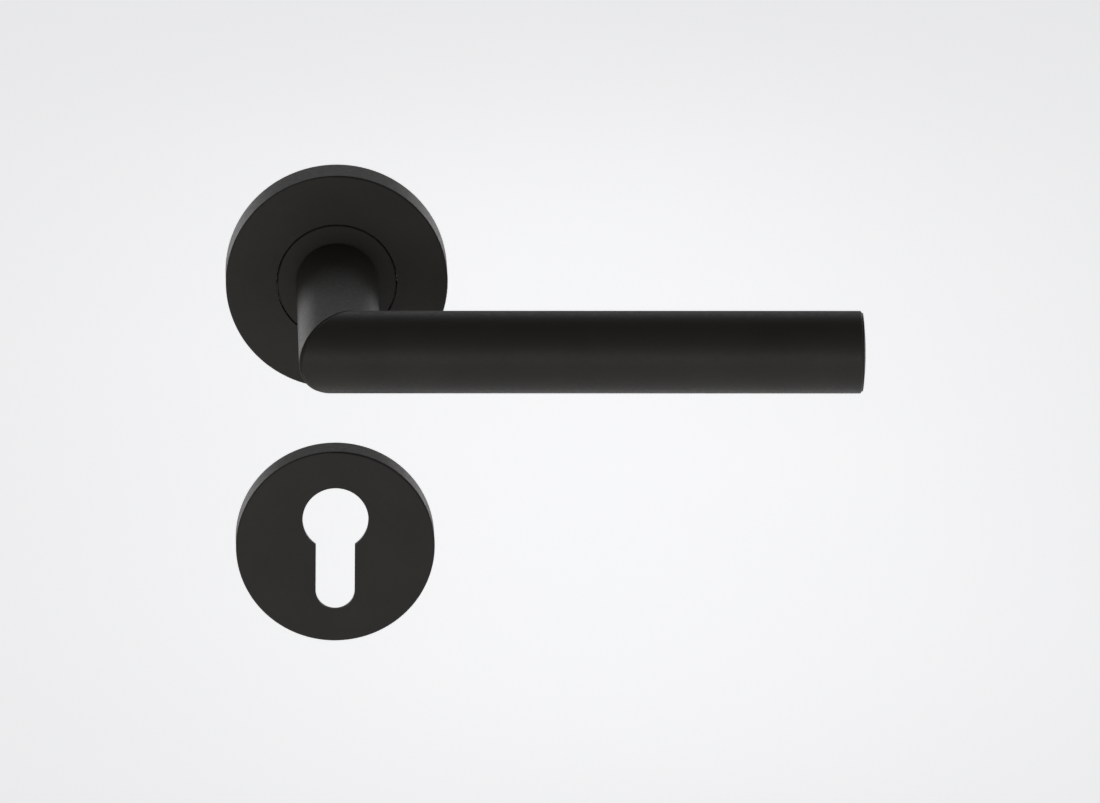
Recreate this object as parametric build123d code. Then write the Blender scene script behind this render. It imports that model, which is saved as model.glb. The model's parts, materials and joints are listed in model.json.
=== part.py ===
from build123d import *
import os
from math import asin, cos, degrees, radians, sin, sqrt, tan

# One door side of a lever handle lockset, in millimetres.
# Every piece is drawn on the door's face: X to the right, Y up, Z out of the door.
# stand_up() turns it so that Z is up and the door's outside faces -Y. The origin is the spindle's
# axis at the door's face.

# Lever: a round tube, mitred at its corner
tube_radius = 10.6
tube_bore = 9.15
grip_axis = 70.8  # from the door's face to the grip's centre line
grip_tip = 134.6  # from the spindle's axis to the cap's outermost point
cap_seam = 1.0  # from the tip back to the seam
cap_radius = 10.1
cap_dome_radius = 79.0
cap_edge = 0.25
cap_spigot = 6.0
tube_end_fillet = 0.5
mitre_edge = 0.4

# Collar ring round the neck, level with the rose's face
collar_radius = 15.4
collar_gap = 0.3
collar_back = 7.2
collar_chamfer = 0.25

# Pressed covers
sheet = 1.2
cover_fillet = 0.5
rose_radius = 28.85
rose_depth = 10.4
escutcheon_radius = 26.0
escutcheon_depth = 8.0
escutcheon_drop = 73.0  # from the spindle's axis down to the escutcheon's centre

# Euro-profile keyhole, measured from the escutcheon's centre. A cylinder 33 mm tall, with a 17 mm circle
# and a 10 mm slot, has 0.1 mm of room all round.
key_circle = 8.6
key_circle_up = 7.4
key_slot = 5.1  # half the slot's width, and its end's radius
key_slot_down = 12.1  # to the centre of the slot's round end
key_base_margin = 2.3  # the base's hole is this much larger all round

# Bases
rose_base_radius = 27.2
rose_base_depth = 6.0
escutcheon_base_radius = 24.6
escutcheon_base_depth = 6.0

# Cast pockets in the back of the rose's base, between its ribs
pocket_inner = 14.5
pocket_outer = 24.0
pocket_depth = 1.6
pocket_rib = 2.0
pocket_land = 30.0  # degrees kept solid each side of a bolt

# Snap rings between a base and its cover
ring_wire = 0.5
ring_height = 2.5
ring_play = 0.05

# Through bolts and their support sleeves, on a level line through each centre
bolt_offset = 19.0
bolt_head_radius = 3.5
bolt_head_height = 2.2
bolt_head_pocket = 3.8
bolt_head_sink = 2.5  # from a base's front down to the head's seat
bolt_shank = 1.75
bolt_thread = 2.0
bolt_hole = 2.15
bolt_thread_start = 9.0
bolt_reach = 38.0  # behind the door's face
driver_slot = 0.9
sleeve_radius = 3.8
sleeve_seat_radius = 4.0
sleeve_seat = 1.5
sleeve_reach = 8.0

# Shank, spindle and grub screw
shank_back = 0.1
shank_front = 30.0
spindle_side = 8.0
spindle_edge = 0.5
spindle_front = 25.0
spindle_back = -60.0
socket_side = 8.1
socket_depth = 26.0
grub_height = 20.0
grub_radius = 3.0
grub_access = 3.3
grub_outer = 10.1
grub_key = 1.5  # half the hexagon's width across its flats
grub_key_depth = 2.5

# Bearing, spring, cam and retainer
bush_radius = 10.65
bush_play = 0.03
bush_back = 1.85
bush_front = 5.8
hub_radius = 11.3
spring_pocket = 14.6
spring_floor = 2.8
spring_radius = 13.2
spring_wire = 0.55
spring_pitch = 1.2
spring_turns = 1.5
spring_leg_end = 16.8
spring_slot = 0.75  # half the width of the slot that holds the fixed leg
cam_back = 6.2
cam_play = 0.1  # round the spring's leg
cam_radius = 14.4
lug_radius = 18.2
lug_half_angle = 8.0
lever_travel = 45.0
pin_circle = 17.0
pin_radius = 1.25
pin_back = 2.2
pin_front = 7.2
stop_slack = 0.5  # degrees between the lug and a pin at each end of the travel
retainer_pocket = 12.5
washer_radius = 12.0
washer_back = 1.3
washer_front = 1.8
clip_radius = 10.8
clip_groove = 8.4
clip_back = 0.5
clip_front = washer_back
clip_mouth = 3.5

# The lug stands half the travel to the left of the top at rest, and as far to the right when turned.
lug_angle = 90.0 + lever_travel / 2
pin_swing = lever_travel / 2 + lug_half_angle + degrees(asin(pin_radius / pin_circle)) + stop_slack
spring_start = lug_angle - 360.0 * spring_turns

FROM_BACK = (Align.CENTER, Align.CENTER, Align.MIN)
mitre = Plane(origin=(0, 0, grip_axis), z_dir=(1, 0, 1))


def disc(radius, back, front):
    """A solid cylinder along Z."""
    return Pos(0, 0, back) * Cylinder(radius, front - back, align=FROM_BACK)


def ring(outer, inner, back, front):
    """A disc with a round hole."""
    return disc(outer, back, front) - disc(inner, back, front)


def on_circle(radius, angle, height=0.0):
    """A place on a circle about the Z axis, its angle in degrees from X."""
    return Pos(radius * cos(radians(angle)), radius * sin(radians(angle)), height)


def pressed_cover(radius, depth):
    """A sheet cup with a rounded front edge, open at the door."""
    cup = disc(radius, 0, depth)
    cup = fillet(cup.edges().group_by(Axis.Z)[-1], cover_fillet)
    return cup - disc(radius - sheet, 0, depth - sheet)


def snap_ring(cover_radius):
    """The wire ring that lies in a base's groove and grips its cover."""
    reach = cover_radius - sheet - ring_play
    return Pos(0, 0, ring_height) * Torus(reach - ring_wire, ring_wire)


def snap_groove(base_radius, cover_radius):
    """The cut round a base that holds its snap ring."""
    floor = cover_radius - sheet - 2 * ring_wire - 2 * ring_play
    half = ring_wire + ring_play
    return ring(base_radius + 1, floor, ring_height - half, ring_height + half)


def at_bolts(piece):
    """The same piece at both bolts."""
    return [Pos(side * bolt_offset, 0, 0) * piece for side in (-1, 1)]


def bolt_cut(base_depth):
    """The stepped hole for one bolt and its sleeve."""
    seat = base_depth - bolt_head_sink
    return (
        disc(bolt_head_pocket, seat, base_depth)
        + disc(bolt_hole, 0, seat)
        + disc(sleeve_seat_radius, 0, sleeve_seat)
    )


def bolt(base_depth):
    """A slotted bolt with a slim shank and a full-size thread at its far end."""
    seat = base_depth - bolt_head_sink
    top = seat + bolt_head_height
    slot = Pos(0, 0, top) * Box(2 * bolt_head_radius + 1, driver_slot, driver_slot * 2)
    head = disc(bolt_head_radius, seat, top) - slot
    shank = disc(bolt_shank, -bolt_thread_start, seat)
    return head + shank + disc(bolt_thread, -bolt_reach, -bolt_thread_start)


def sleeve():
    """A support sleeve: a seat pressed into the base and a barrel that stands in the door."""
    body = disc(sleeve_radius, -sleeve_reach, 0) + disc(sleeve_seat_radius, 0, sleeve_seat)
    return body - disc(bolt_hole, -sleeve_reach, sleeve_seat)


def keyhole(margin, back, front):
    """The euro profile as a solid: a circle over a narrower slot with a round end."""
    circle = Pos(0, key_circle_up) * Circle(key_circle + margin)
    end = Pos(0, -key_slot_down) * Circle(key_slot + margin)
    length = key_circle_up + key_slot_down
    slot = Pos(0, key_circle_up - length / 2) * Rectangle(2 * (key_slot + margin), length)
    return Pos(0, 0, back) * extrude(circle + end + slot, front - back)


def rose_cover():
    """The rose's face, with the hole that the collar fills."""
    return pressed_cover(rose_radius, rose_depth) - disc(collar_radius + collar_gap, 0, rose_depth)


def neck_collar():
    """The ring that turns with the neck inside the rose's hole."""
    blank = disc(collar_radius, collar_back, rose_depth)
    blank = chamfer(blank.edges().group_by(Axis.Z)[-1], collar_chamfer)
    return blank - disc(tube_radius, collar_back, rose_depth)


def mitred(rod, side):
    """One side of the mitre, with a small round along its edge so that the joint reads as a fine seam."""
    rod = split(rod, bisect_by=mitre, keep=side)
    return fillet(rod.edges().filter_by(GeomType.ELLIPSE), mitre_edge)


def neck_tube():
    """The tube that stands out of the rose, mitred, with the access hole for the grub screw."""
    past_corner = grip_axis + 2 * tube_radius
    tube = mitred(disc(tube_radius, collar_back, past_corner), Keep.BOTTOM)
    access = Pos(0, -tube_radius, grub_height) * Rot(90, 0, 0) * Cylinder(grub_access, tube_radius / 2)
    return tube - disc(tube_bore, collar_back, past_corner) - access


def grip_tube():
    """The grip, mitred to the neck, with a rounded end at the cap."""
    before_corner = -2 * tube_radius
    end = grip_tip - cap_seam
    lay_down = Pos(0, 0, grip_axis) * Rot(0, 90, 0)
    rod = disc(tube_radius, before_corner, end)
    rod = fillet(rod.edges().group_by(Axis.Z)[-1], tube_end_fillet)
    return mitred(lay_down * rod, Keep.TOP) - lay_down * disc(tube_bore, before_corner, end)


def end_cap():
    """A slightly domed cap on a spigot inside the grip, turned from its half outline."""
    rim = cap_seam - cap_dome_radius + sqrt(cap_dome_radius**2 - cap_radius**2)
    dome = RadiusArc((cap_radius, rim), (0, cap_seam), -cap_dome_radius)
    sides = Polyline((0, cap_seam), (0, -cap_spigot), (tube_bore, -cap_spigot), (tube_bore, 0), (cap_radius, 0))
    outline = make_face(dome + sides + Line((cap_radius, 0), (cap_radius, rim)))
    corner = outline.vertices().sort_by_distance((cap_radius, rim, 0))[0]
    outline = fillet(corner, cap_edge)
    cap = revolve(Rot(90, 0, 0) * outline, Axis.Z)
    return Pos(grip_tip - cap_seam, 0, grip_axis) * Rot(0, 90, 0) * cap


def neck_shank():
    """The turned core: pressed into the neck, running in the bush, and grooved for its clip."""
    body = disc(tube_bore, shank_back, shank_front)
    socket = Pos(0, 0, shank_back) * Box(socket_side, socket_side, socket_depth - shank_back, align=FROM_BACK)
    groove = ring(tube_bore + 1, clip_groove, clip_back, clip_front)
    thread = Pos(0, -tube_bore / 2, grub_height) * Rot(90, 0, 0) * Cylinder(grub_radius, tube_bore)
    return body - socket - groove - thread


def grub_screw():
    """The screw that holds the spindle in its socket, turned by a hexagon key from below."""
    length = grub_outer - spindle_side / 2
    screw = disc(grub_radius, 0, length)
    key = RegularPolygon(grub_key, 6, major_radius=False)
    screw = screw - Pos(0, 0, length - grub_key_depth) * extrude(key, grub_key_depth)
    return Pos(0, -spindle_side / 2, grub_height) * Rot(90, 0, 0) * screw


def spindle():
    """The square bar, from its socket in the lever through the door."""
    bar = Box(spindle_side, spindle_side, spindle_front - spindle_back, align=FROM_BACK)
    bar = chamfer(bar.edges().filter_by(Axis.Z), spindle_edge)
    return Pos(0, 0, spindle_back) * bar


def cast_pockets():
    """Ring pockets over and under the bolts, split by ribs."""
    band = ring(pocket_outer, pocket_inner, 0, pocket_depth)
    half_land = pocket_outer * sin(radians(pocket_land))
    band -= Box(4 * pocket_outer, 2 * half_land, 4 * pocket_depth)
    for angle in (60, 90, 120):
        band -= Rot(0, 0, angle) * Box(4 * pocket_outer, pocket_rib, 4 * pocket_depth)
    return band


def rose_base():
    """The base on the door: bush bore, spring pocket, stop pins, bolts, cast pockets and snap groove."""
    base = disc(rose_base_radius, 0, rose_base_depth)
    base -= disc(bush_radius, 0, rose_base_depth)
    base -= ring(spring_pocket, hub_radius, spring_floor, rose_base_depth)
    base -= disc(retainer_pocket, 0, bush_back)
    base -= snap_groove(rose_base_radius, rose_radius)
    base -= cast_pockets()
    for cut in at_bolts(bolt_cut(rose_base_depth)):
        base -= cut
    for side in (-1, 1):
        base -= on_circle(pin_circle, 90 + side * pin_swing) * disc(pin_radius, pin_back, rose_base_depth)
    reach = spring_leg_end + spring_wire - hub_radius
    slot = Box(reach, 2 * spring_slot, rose_base_depth - spring_floor, align=FROM_BACK)
    return base - Rot(0, 0, spring_start) * Pos(hub_radius + reach / 2, 0, spring_floor) * slot


def bearing_bush():
    """The plain bearing between the base and the shank."""
    return ring(bush_radius, tube_bore + bush_play, bush_back, bush_front)


def return_spring():
    """A torsion spring: one leg held in the base's slot, the other in the cam's hole."""
    start = spring_floor + ring_play + spring_wire
    rise = spring_pitch * spring_turns
    path = Helix(spring_pitch, rise, spring_radius)
    section = Plane(origin=path @ 0, z_dir=path % 0) * Circle(spring_wire)
    coil = Pos(0, 0, start) * sweep(section, path)
    reach = spring_leg_end - spring_radius
    fixed_leg = Pos(spring_radius + reach / 2, 0, start) * Rot(0, 90, 0) * Cylinder(spring_wire, reach)
    last_turn = 360 * spring_turns
    cam_leg = on_circle(spring_radius, last_turn) * disc(spring_wire, start + rise, collar_back - cam_play)
    first_bend = Pos(spring_radius, 0, start) * Sphere(spring_wire)
    last_bend = on_circle(spring_radius, last_turn, start + rise) * Sphere(spring_wire)
    return Rot(0, 0, spring_start) * (coil + fixed_leg + cam_leg + first_bend + last_bend)


def return_cam():
    """The disc on the shank: its lug meets the stop pins and its hole takes the spring's leg."""
    far = 2 * lug_radius
    side = far * tan(radians(lug_half_angle))
    wedge = make_face(Polyline((0, 0), (far, -side), (far, side), close=True))
    lug = disc(lug_radius, cam_back, collar_back)
    lug &= Pos(0, 0, cam_back) * extrude(wedge, collar_back - cam_back)
    cam = disc(cam_radius, cam_back, collar_back) + Rot(0, 0, lug_angle) * lug
    cam -= disc(tube_bore, cam_back, collar_back)
    return cam - on_circle(spring_radius, lug_angle) * disc(spring_wire + cam_play, cam_back, collar_back)


def stop_pins():
    """The two pins that end the lever's travel."""
    pin = disc(pin_radius, pin_back, pin_front)
    return [on_circle(pin_circle, 90 + side * pin_swing) * pin for side in (-1, 1)]


def thrust_washer():
    """The washer between the base and the clip."""
    return ring(washer_radius, tube_bore, washer_back, washer_front)


def circlip():
    """The open ring in the shank's groove."""
    clip = ring(clip_radius, clip_groove, clip_back, clip_front)
    return clip - Pos(0, -clip_radius, clip_back) * Box(clip_mouth, clip_radius, clip_front * 2)


def escutcheon_cover():
    """The lower cover, with the keyhole through its face."""
    cover = pressed_cover(escutcheon_radius, escutcheon_depth)
    return cover - keyhole(0, 0, escutcheon_depth)


def escutcheon_base():
    """The lower base, with a keyhole that clears the cover's all round."""
    base = disc(escutcheon_base_radius, 0, escutcheon_base_depth)
    base -= snap_groove(escutcheon_base_radius, escutcheon_radius)
    base -= keyhole(key_base_margin, 0, escutcheon_base_depth)
    for cut in at_bolts(bolt_cut(escutcheon_base_depth)):
        base -= cut
    return base


def stand_up(pieces, drop=0.0):
    """Turn pieces from the door's face frame to Z up, some way below the spindle's axis."""
    placed = [Rot(90, 0, 0) * Pos(0, -drop, 0) * piece for piece in pieces]
    return placed[0] if len(placed) == 1 else Compound(children=placed)


rose_nodes = {
    "rose_cover": [rose_cover()],
    "neck_collar": [neck_collar()],
    "neck_tube": [neck_tube()],
    "grip_tube": [grip_tube()],
    "end_cap": [end_cap()],
    "neck_shank": [neck_shank()],
    "grub_screw": [grub_screw()],
    "spindle": [spindle()],
    "rose_base": [rose_base()],
    "bearing_bush": [bearing_bush()],
    "return_spring": [return_spring()],
    "return_cam": [return_cam()],
    "stop_pins": stop_pins(),
    "thrust_washer": [thrust_washer()],
    "circlip": [circlip()],
    "rose_grip_ring": [snap_ring(rose_radius)],
    "rose_bolts": at_bolts(bolt(rose_base_depth)),
    "rose_sleeves": at_bolts(sleeve()),
}
escutcheon_nodes = {
    "escutcheon_cover": [escutcheon_cover()],
    "escutcheon_base": [escutcheon_base()],
    "escutcheon_grip_ring": [snap_ring(escutcheon_radius)],
    "escutcheon_bolts": at_bolts(bolt(escutcheon_base_depth)),
    "escutcheon_sleeves": at_bolts(sleeve()),
}

os.makedirs("parts", exist_ok=True)
for drop, nodes in ((0.0, rose_nodes), (escutcheon_drop, escutcheon_nodes)):
    for name, pieces in nodes.items():
        export_step(stand_up(pieces, drop), f"parts/{name}.step")
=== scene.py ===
import json
import math

import bpy
from mathutils import Matrix, Vector


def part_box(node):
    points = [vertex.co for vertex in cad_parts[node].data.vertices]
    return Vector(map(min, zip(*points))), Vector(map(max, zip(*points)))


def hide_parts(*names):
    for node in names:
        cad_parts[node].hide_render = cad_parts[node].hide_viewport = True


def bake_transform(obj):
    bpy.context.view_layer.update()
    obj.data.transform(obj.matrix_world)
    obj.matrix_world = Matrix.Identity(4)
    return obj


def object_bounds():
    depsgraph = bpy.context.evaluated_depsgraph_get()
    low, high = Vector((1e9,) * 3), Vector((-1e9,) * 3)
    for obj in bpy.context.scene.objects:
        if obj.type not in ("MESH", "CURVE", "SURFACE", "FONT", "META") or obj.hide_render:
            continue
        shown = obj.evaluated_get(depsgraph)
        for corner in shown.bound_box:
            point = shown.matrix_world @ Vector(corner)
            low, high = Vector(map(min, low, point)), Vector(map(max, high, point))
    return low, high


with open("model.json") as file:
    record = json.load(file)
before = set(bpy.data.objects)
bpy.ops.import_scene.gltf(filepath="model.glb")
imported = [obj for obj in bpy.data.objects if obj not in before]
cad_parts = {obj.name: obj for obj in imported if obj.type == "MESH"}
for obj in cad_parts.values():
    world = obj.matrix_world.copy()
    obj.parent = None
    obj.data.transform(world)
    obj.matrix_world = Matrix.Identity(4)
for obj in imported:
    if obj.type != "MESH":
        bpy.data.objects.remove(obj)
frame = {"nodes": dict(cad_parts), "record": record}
cad_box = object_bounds()

MM = 0.001

# Camera: a long lens a little above the lever, aimed beside and below the rose's front centre
ELEVATION = math.radians(17.6)
AZIMUTH = math.radians(-1.71)
ROLL = math.radians(0.53)
DISTANCE = 4.0
LENS = 504.0
SENSOR_WIDTH = 36.0
CLIP_END = 100.0
AIM_RIGHT = 55.66 * MM
AIM_DOWN = 30.42 * MM

# The floor lies deep enough for a view from below, and meets the picture's middle well behind the object
FLOOR_DROP = 1950 * MM
FLOOR_HALF = 30.0
FLOOR_GLOW = 0.61
FLOOR_GLOW_COLOUR = (0.985, 0.99, 1.0, 1)

# What the lights point at: the object, and the floor where the picture's middle meets it
OBJECT_MIDDLE = (0.05, 0, -0.03)
POOL_MIDDLE = (0.27, 6.25, -2.0)

# The sky's grey level at the horizon, at two heights between, and straight up
SKY_HORIZON = 0.36
SKY_BETWEEN = {0.3: 0.27, 0.6: 0.21}
SKY_TOP = 0.15
BACKDROP = (0.80, 0.805, 0.81, 1)

# The middle of a noise's range, which is remapped to a material's own range
NOISE_LOW = 0.3
NOISE_HIGH = 0.7

# How far a metal's roughness strays either way, and how much finer its grain is than its gloss
GLOSS_SPREAD = 0.07
GRAIN_TO_GLOSS = 3


def node_material(name):
    """A new material with its Principled shader."""
    material = bpy.data.materials.new(name)
    material.use_nodes = True
    return material, material.node_tree, material.node_tree.nodes["Principled BSDF"]


def noise(tree, scale, detail=2.0):
    """Noise in object space, its scale in cells per metre."""
    place = tree.nodes.new("ShaderNodeTexCoord")
    texture = tree.nodes.new("ShaderNodeTexNoise")
    texture.inputs["Scale"].default_value = scale
    texture.inputs["Detail"].default_value = detail
    tree.links.new(place.outputs["Object"], texture.inputs["Vector"])
    return texture.outputs["Fac"]


def spread(tree, value, low, high):
    """A noise remapped to a range."""
    remap = tree.nodes.new("ShaderNodeMapRange")
    remap.inputs["From Min"].default_value = NOISE_LOW
    remap.inputs["From Max"].default_value = NOISE_HIGH
    remap.inputs["To Min"].default_value = low
    remap.inputs["To Max"].default_value = high
    tree.links.new(value, remap.inputs["Value"])
    return remap.outputs["Result"]


def blend_colours(tree, value, low, high):
    """Two colours mixed by a noise."""
    ramp = tree.nodes.new("ShaderNodeValToRGB")
    ramp.color_ramp.elements[0].color = (*low, 1)
    ramp.color_ramp.elements[1].color = (*high, 1)
    ramp.color_ramp.elements[0].position = NOISE_LOW
    ramp.color_ramp.elements[1].position = NOISE_HIGH
    tree.links.new(value, ramp.inputs["Fac"])
    return ramp.outputs["Color"]


def bump(tree, height, distance, under=None):
    """A bump of a real height in metres, on top of another bump if there is one."""
    node = tree.nodes.new("ShaderNodeBump")
    node.inputs["Distance"].default_value = distance
    tree.links.new(height, node.inputs["Height"])
    if under is not None:
        tree.links.new(under, node.inputs["Normal"])
    return node.outputs["Normal"]


def black_coat():
    """Matt black powder coat: fine grain, a faint orange peel and slightly uneven gloss."""
    material, tree, shader = node_material("black_coat")
    tone = noise(tree, 60.0, detail=3.0)
    colour = blend_colours(tree, tone, (0.0175, 0.0165, 0.0150), (0.0215, 0.0205, 0.0187))
    tree.links.new(colour, shader.inputs["Base Color"])
    gloss = noise(tree, 900.0, detail=3.0)
    tree.links.new(spread(tree, gloss, 0.44, 0.54), shader.inputs["Roughness"])
    peel = bump(tree, noise(tree, 700.0, detail=1.0), 0.006 * MM)
    grain = bump(tree, noise(tree, 4500.0), 0.004 * MM, under=peel)
    tree.links.new(grain, shader.inputs["Normal"])
    shader.inputs["Specular IOR Level"].default_value = 0.22
    shader.inputs["Specular Tint"].default_value = (1.0, 0.985, 0.95, 1)
    return material


def plain_metal(name, low, high, roughness, grain_scale=1500.0, grain_height=0.003 * MM):
    """A bare or plated metal with uneven tone and gloss."""
    material, tree, shader = node_material(name)
    tone = noise(tree, 120.0, detail=4.0)
    tree.links.new(blend_colours(tree, tone, low, high), shader.inputs["Base Color"])
    gloss = noise(tree, grain_scale / GRAIN_TO_GLOSS, detail=4.0)
    uneven = spread(tree, gloss, roughness - GLOSS_SPREAD, roughness + GLOSS_SPREAD)
    tree.links.new(uneven, shader.inputs["Roughness"])
    grain = bump(tree, noise(tree, grain_scale, detail=3.0), grain_height)
    tree.links.new(grain, shader.inputs["Normal"])
    shader.inputs["Metallic"].default_value = 1.0
    return material


def nylon():
    """Natural nylon."""
    material, tree, shader = node_material("nylon")
    colour = blend_colours(tree, noise(tree, 200.0), (0.70, 0.69, 0.63), (0.76, 0.75, 0.69))
    tree.links.new(colour, shader.inputs["Base Color"])
    tree.links.new(spread(tree, noise(tree, 1200.0), 0.40, 0.52), shader.inputs["Roughness"])
    tree.links.new(bump(tree, noise(tree, 2500.0), 0.003 * MM), shader.inputs["Normal"])
    return material


def floor_paint():
    """A pale matt floor that glows a little, so that it stays even where the lights don't reach."""
    material, tree, shader = node_material("floor_paint")
    colour = blend_colours(tree, noise(tree, 3.0), (0.86, 0.865, 0.87), (0.88, 0.885, 0.89))
    tree.links.new(colour, shader.inputs["Base Color"])
    tree.links.new(spread(tree, noise(tree, 40.0), 0.80, 0.90), shader.inputs["Roughness"])
    tree.links.new(bump(tree, noise(tree, 300.0), 0.01 * MM), shader.inputs["Normal"])
    shader.inputs["Specular IOR Level"].default_value = 0.1
    shader.inputs["Emission Color"].default_value = FLOOR_GLOW_COLOUR
    shader.inputs["Emission Strength"].default_value = FLOOR_GLOW
    return material


MATERIALS = {
    "black_coat": black_coat(),
    "turned_steel": plain_metal("turned_steel", (0.42, 0.42, 0.43), (0.50, 0.50, 0.51), 0.30),
    "dark_screw": plain_metal("dark_screw", (0.03, 0.03, 0.034), (0.05, 0.05, 0.055), 0.40),
    "zinc_steel": plain_metal("zinc_steel", (0.52, 0.55, 0.60), (0.62, 0.64, 0.66), 0.32),
    "zinc_cast": plain_metal("zinc_cast", (0.30, 0.31, 0.33), (0.38, 0.39, 0.40), 0.52,
                             grain_scale=900.0, grain_height=0.02 * MM),
    "nylon": nylon(),
    "spring_steel": plain_metal("spring_steel", (0.16, 0.16, 0.17), (0.24, 0.24, 0.25), 0.34),
}


def paint_parts():
    """Each CAD node in the material of its slot in the record."""
    for part in frame["record"]["subparts"]:
        surfaces = frame["nodes"][part["node"]].data.materials
        surfaces.clear()
        surfaces.append(MATERIALS[part["material_slot"]])


def make_spring():
    """The return spring as a plain copy of its CAD mesh, standing in for the CAD node, which is hidden."""
    cad_spring = frame["nodes"]["return_spring"]
    spring = bpy.data.objects.new("wound_spring", cad_spring.data.copy())
    bpy.context.collection.objects.link(spring)
    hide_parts("return_spring")
    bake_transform(spring)


def make_floor():
    """A wide plain floor below the object."""
    level = cad_box[0].z - FLOOR_DROP
    corners = [(-FLOOR_HALF, -FLOOR_HALF, level), (FLOOR_HALF, -FLOOR_HALF, level),
               (FLOOR_HALF, FLOOR_HALF, level), (-FLOOR_HALF, FLOOR_HALF, level)]
    mesh = bpy.data.meshes.new("floor")
    mesh.from_pydata(corners, [], [(0, 1, 2, 3)])
    mesh.materials.append(floor_paint())
    floor = bpy.data.objects.new("floor", mesh)
    bpy.context.collection.objects.link(floor)


def area_light(name, place, target, width, height, watts):
    """A white soft box, seen in reflections but not by the camera."""
    data = bpy.data.lights.new(name, "AREA")
    data.shape = "RECTANGLE"
    data.size = width
    data.size_y = height
    data.energy = watts
    light = bpy.data.objects.new(name, data)
    bpy.context.collection.objects.link(light)
    light.location = place
    light.rotation_euler = (Vector(target) - Vector(place)).to_track_quat("-Z", "Y").to_euler()
    light.visible_camera = False


def grey(level):
    """An opaque grey."""
    return (level, level, level, 1)


def make_sky():
    """Surroundings that fade to a dark ceiling in reflections, and a plain pale backdrop past the floor."""
    world = bpy.data.worlds.new("studio")
    bpy.context.scene.world = world
    world.use_nodes = True
    tree = world.node_tree
    sky = tree.nodes["Background"]
    place = tree.nodes.new("ShaderNodeTexCoord")
    split = tree.nodes.new("ShaderNodeSeparateXYZ")
    ramp = tree.nodes.new("ShaderNodeValToRGB")
    tree.links.new(place.outputs["Generated"], split.inputs["Vector"])
    tree.links.new(split.outputs["Z"], ramp.inputs["Fac"])
    tree.links.new(ramp.outputs["Color"], sky.inputs["Color"])
    stops = ramp.color_ramp.elements
    stops[0].color = grey(SKY_HORIZON)
    stops[1].color = grey(SKY_TOP)
    for height, level in SKY_BETWEEN.items():
        stops.new(height).color = grey(level)
    backdrop = tree.nodes.new("ShaderNodeBackground")
    backdrop.inputs["Color"].default_value = BACKDROP
    seen = tree.nodes.new("ShaderNodeLightPath")
    either = tree.nodes.new("ShaderNodeMixShader")
    tree.links.new(seen.outputs["Is Camera Ray"], either.inputs["Fac"])
    tree.links.new(sky.outputs["Background"], either.inputs[1])
    tree.links.new(backdrop.outputs["Background"], either.inputs[2])
    tree.links.new(either.outputs["Shader"], tree.nodes["World Output"].inputs["Surface"])


def make_lights():
    """Soft boxes above, in front and at each side, and a pool of light on the floor behind."""
    area_light("pool_light", (0.27, 6.25, -1.55), POOL_MIDDLE, width=0.2, height=1.6, watts=0.95)
    area_light("top_box", (0.05, 1.9, 1.2), OBJECT_MIDDLE, width=2.6, height=1.2, watts=6)
    area_light("front_box", (0.0, -2.6, 0.10), OBJECT_MIDDLE, width=2.4, height=0.6, watts=12.5)
    area_light("left_box", (-1.4, 1.9, 0.0), OBJECT_MIDDLE, width=1.0, height=1.0, watts=8)
    area_light("right_box", (1.3, 2.3, 0.0), OBJECT_MIDDLE, width=1.0, height=1.0, watts=5)


def make_camera():
    """The camera, aimed from the rose's front centre."""
    low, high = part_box("rose_cover")
    rose_front = Vector(((low[0] + high[0]) / 2, low[1], (low[2] + high[2]) / 2))
    right = Vector((math.cos(AZIMUTH), math.sin(AZIMUTH), 0))
    back = Vector((math.sin(AZIMUTH) * math.cos(ELEVATION), -math.cos(AZIMUTH) * math.cos(ELEVATION),
                   math.sin(ELEVATION)))
    up = back.cross(right)
    aim = rose_front + right * AIM_RIGHT - up * AIM_DOWN
    data = bpy.data.cameras.new("camera")
    data.lens = LENS
    data.sensor_width = SENSOR_WIDTH
    data.clip_end = CLIP_END
    camera = bpy.data.objects.new("camera", data)
    bpy.context.collection.objects.link(camera)
    camera.location = aim + back * DISTANCE
    turn = (-back).to_track_quat("-Z", "Y").to_matrix() @ Matrix.Rotation(ROLL, 3, "Z")
    camera.rotation_euler = turn.to_euler()
    bpy.context.scene.camera = camera


paint_parts()
make_spring()
make_floor()
make_sky()
make_lights()
make_camera()
bpy.context.scene.view_settings.view_transform = "Standard"
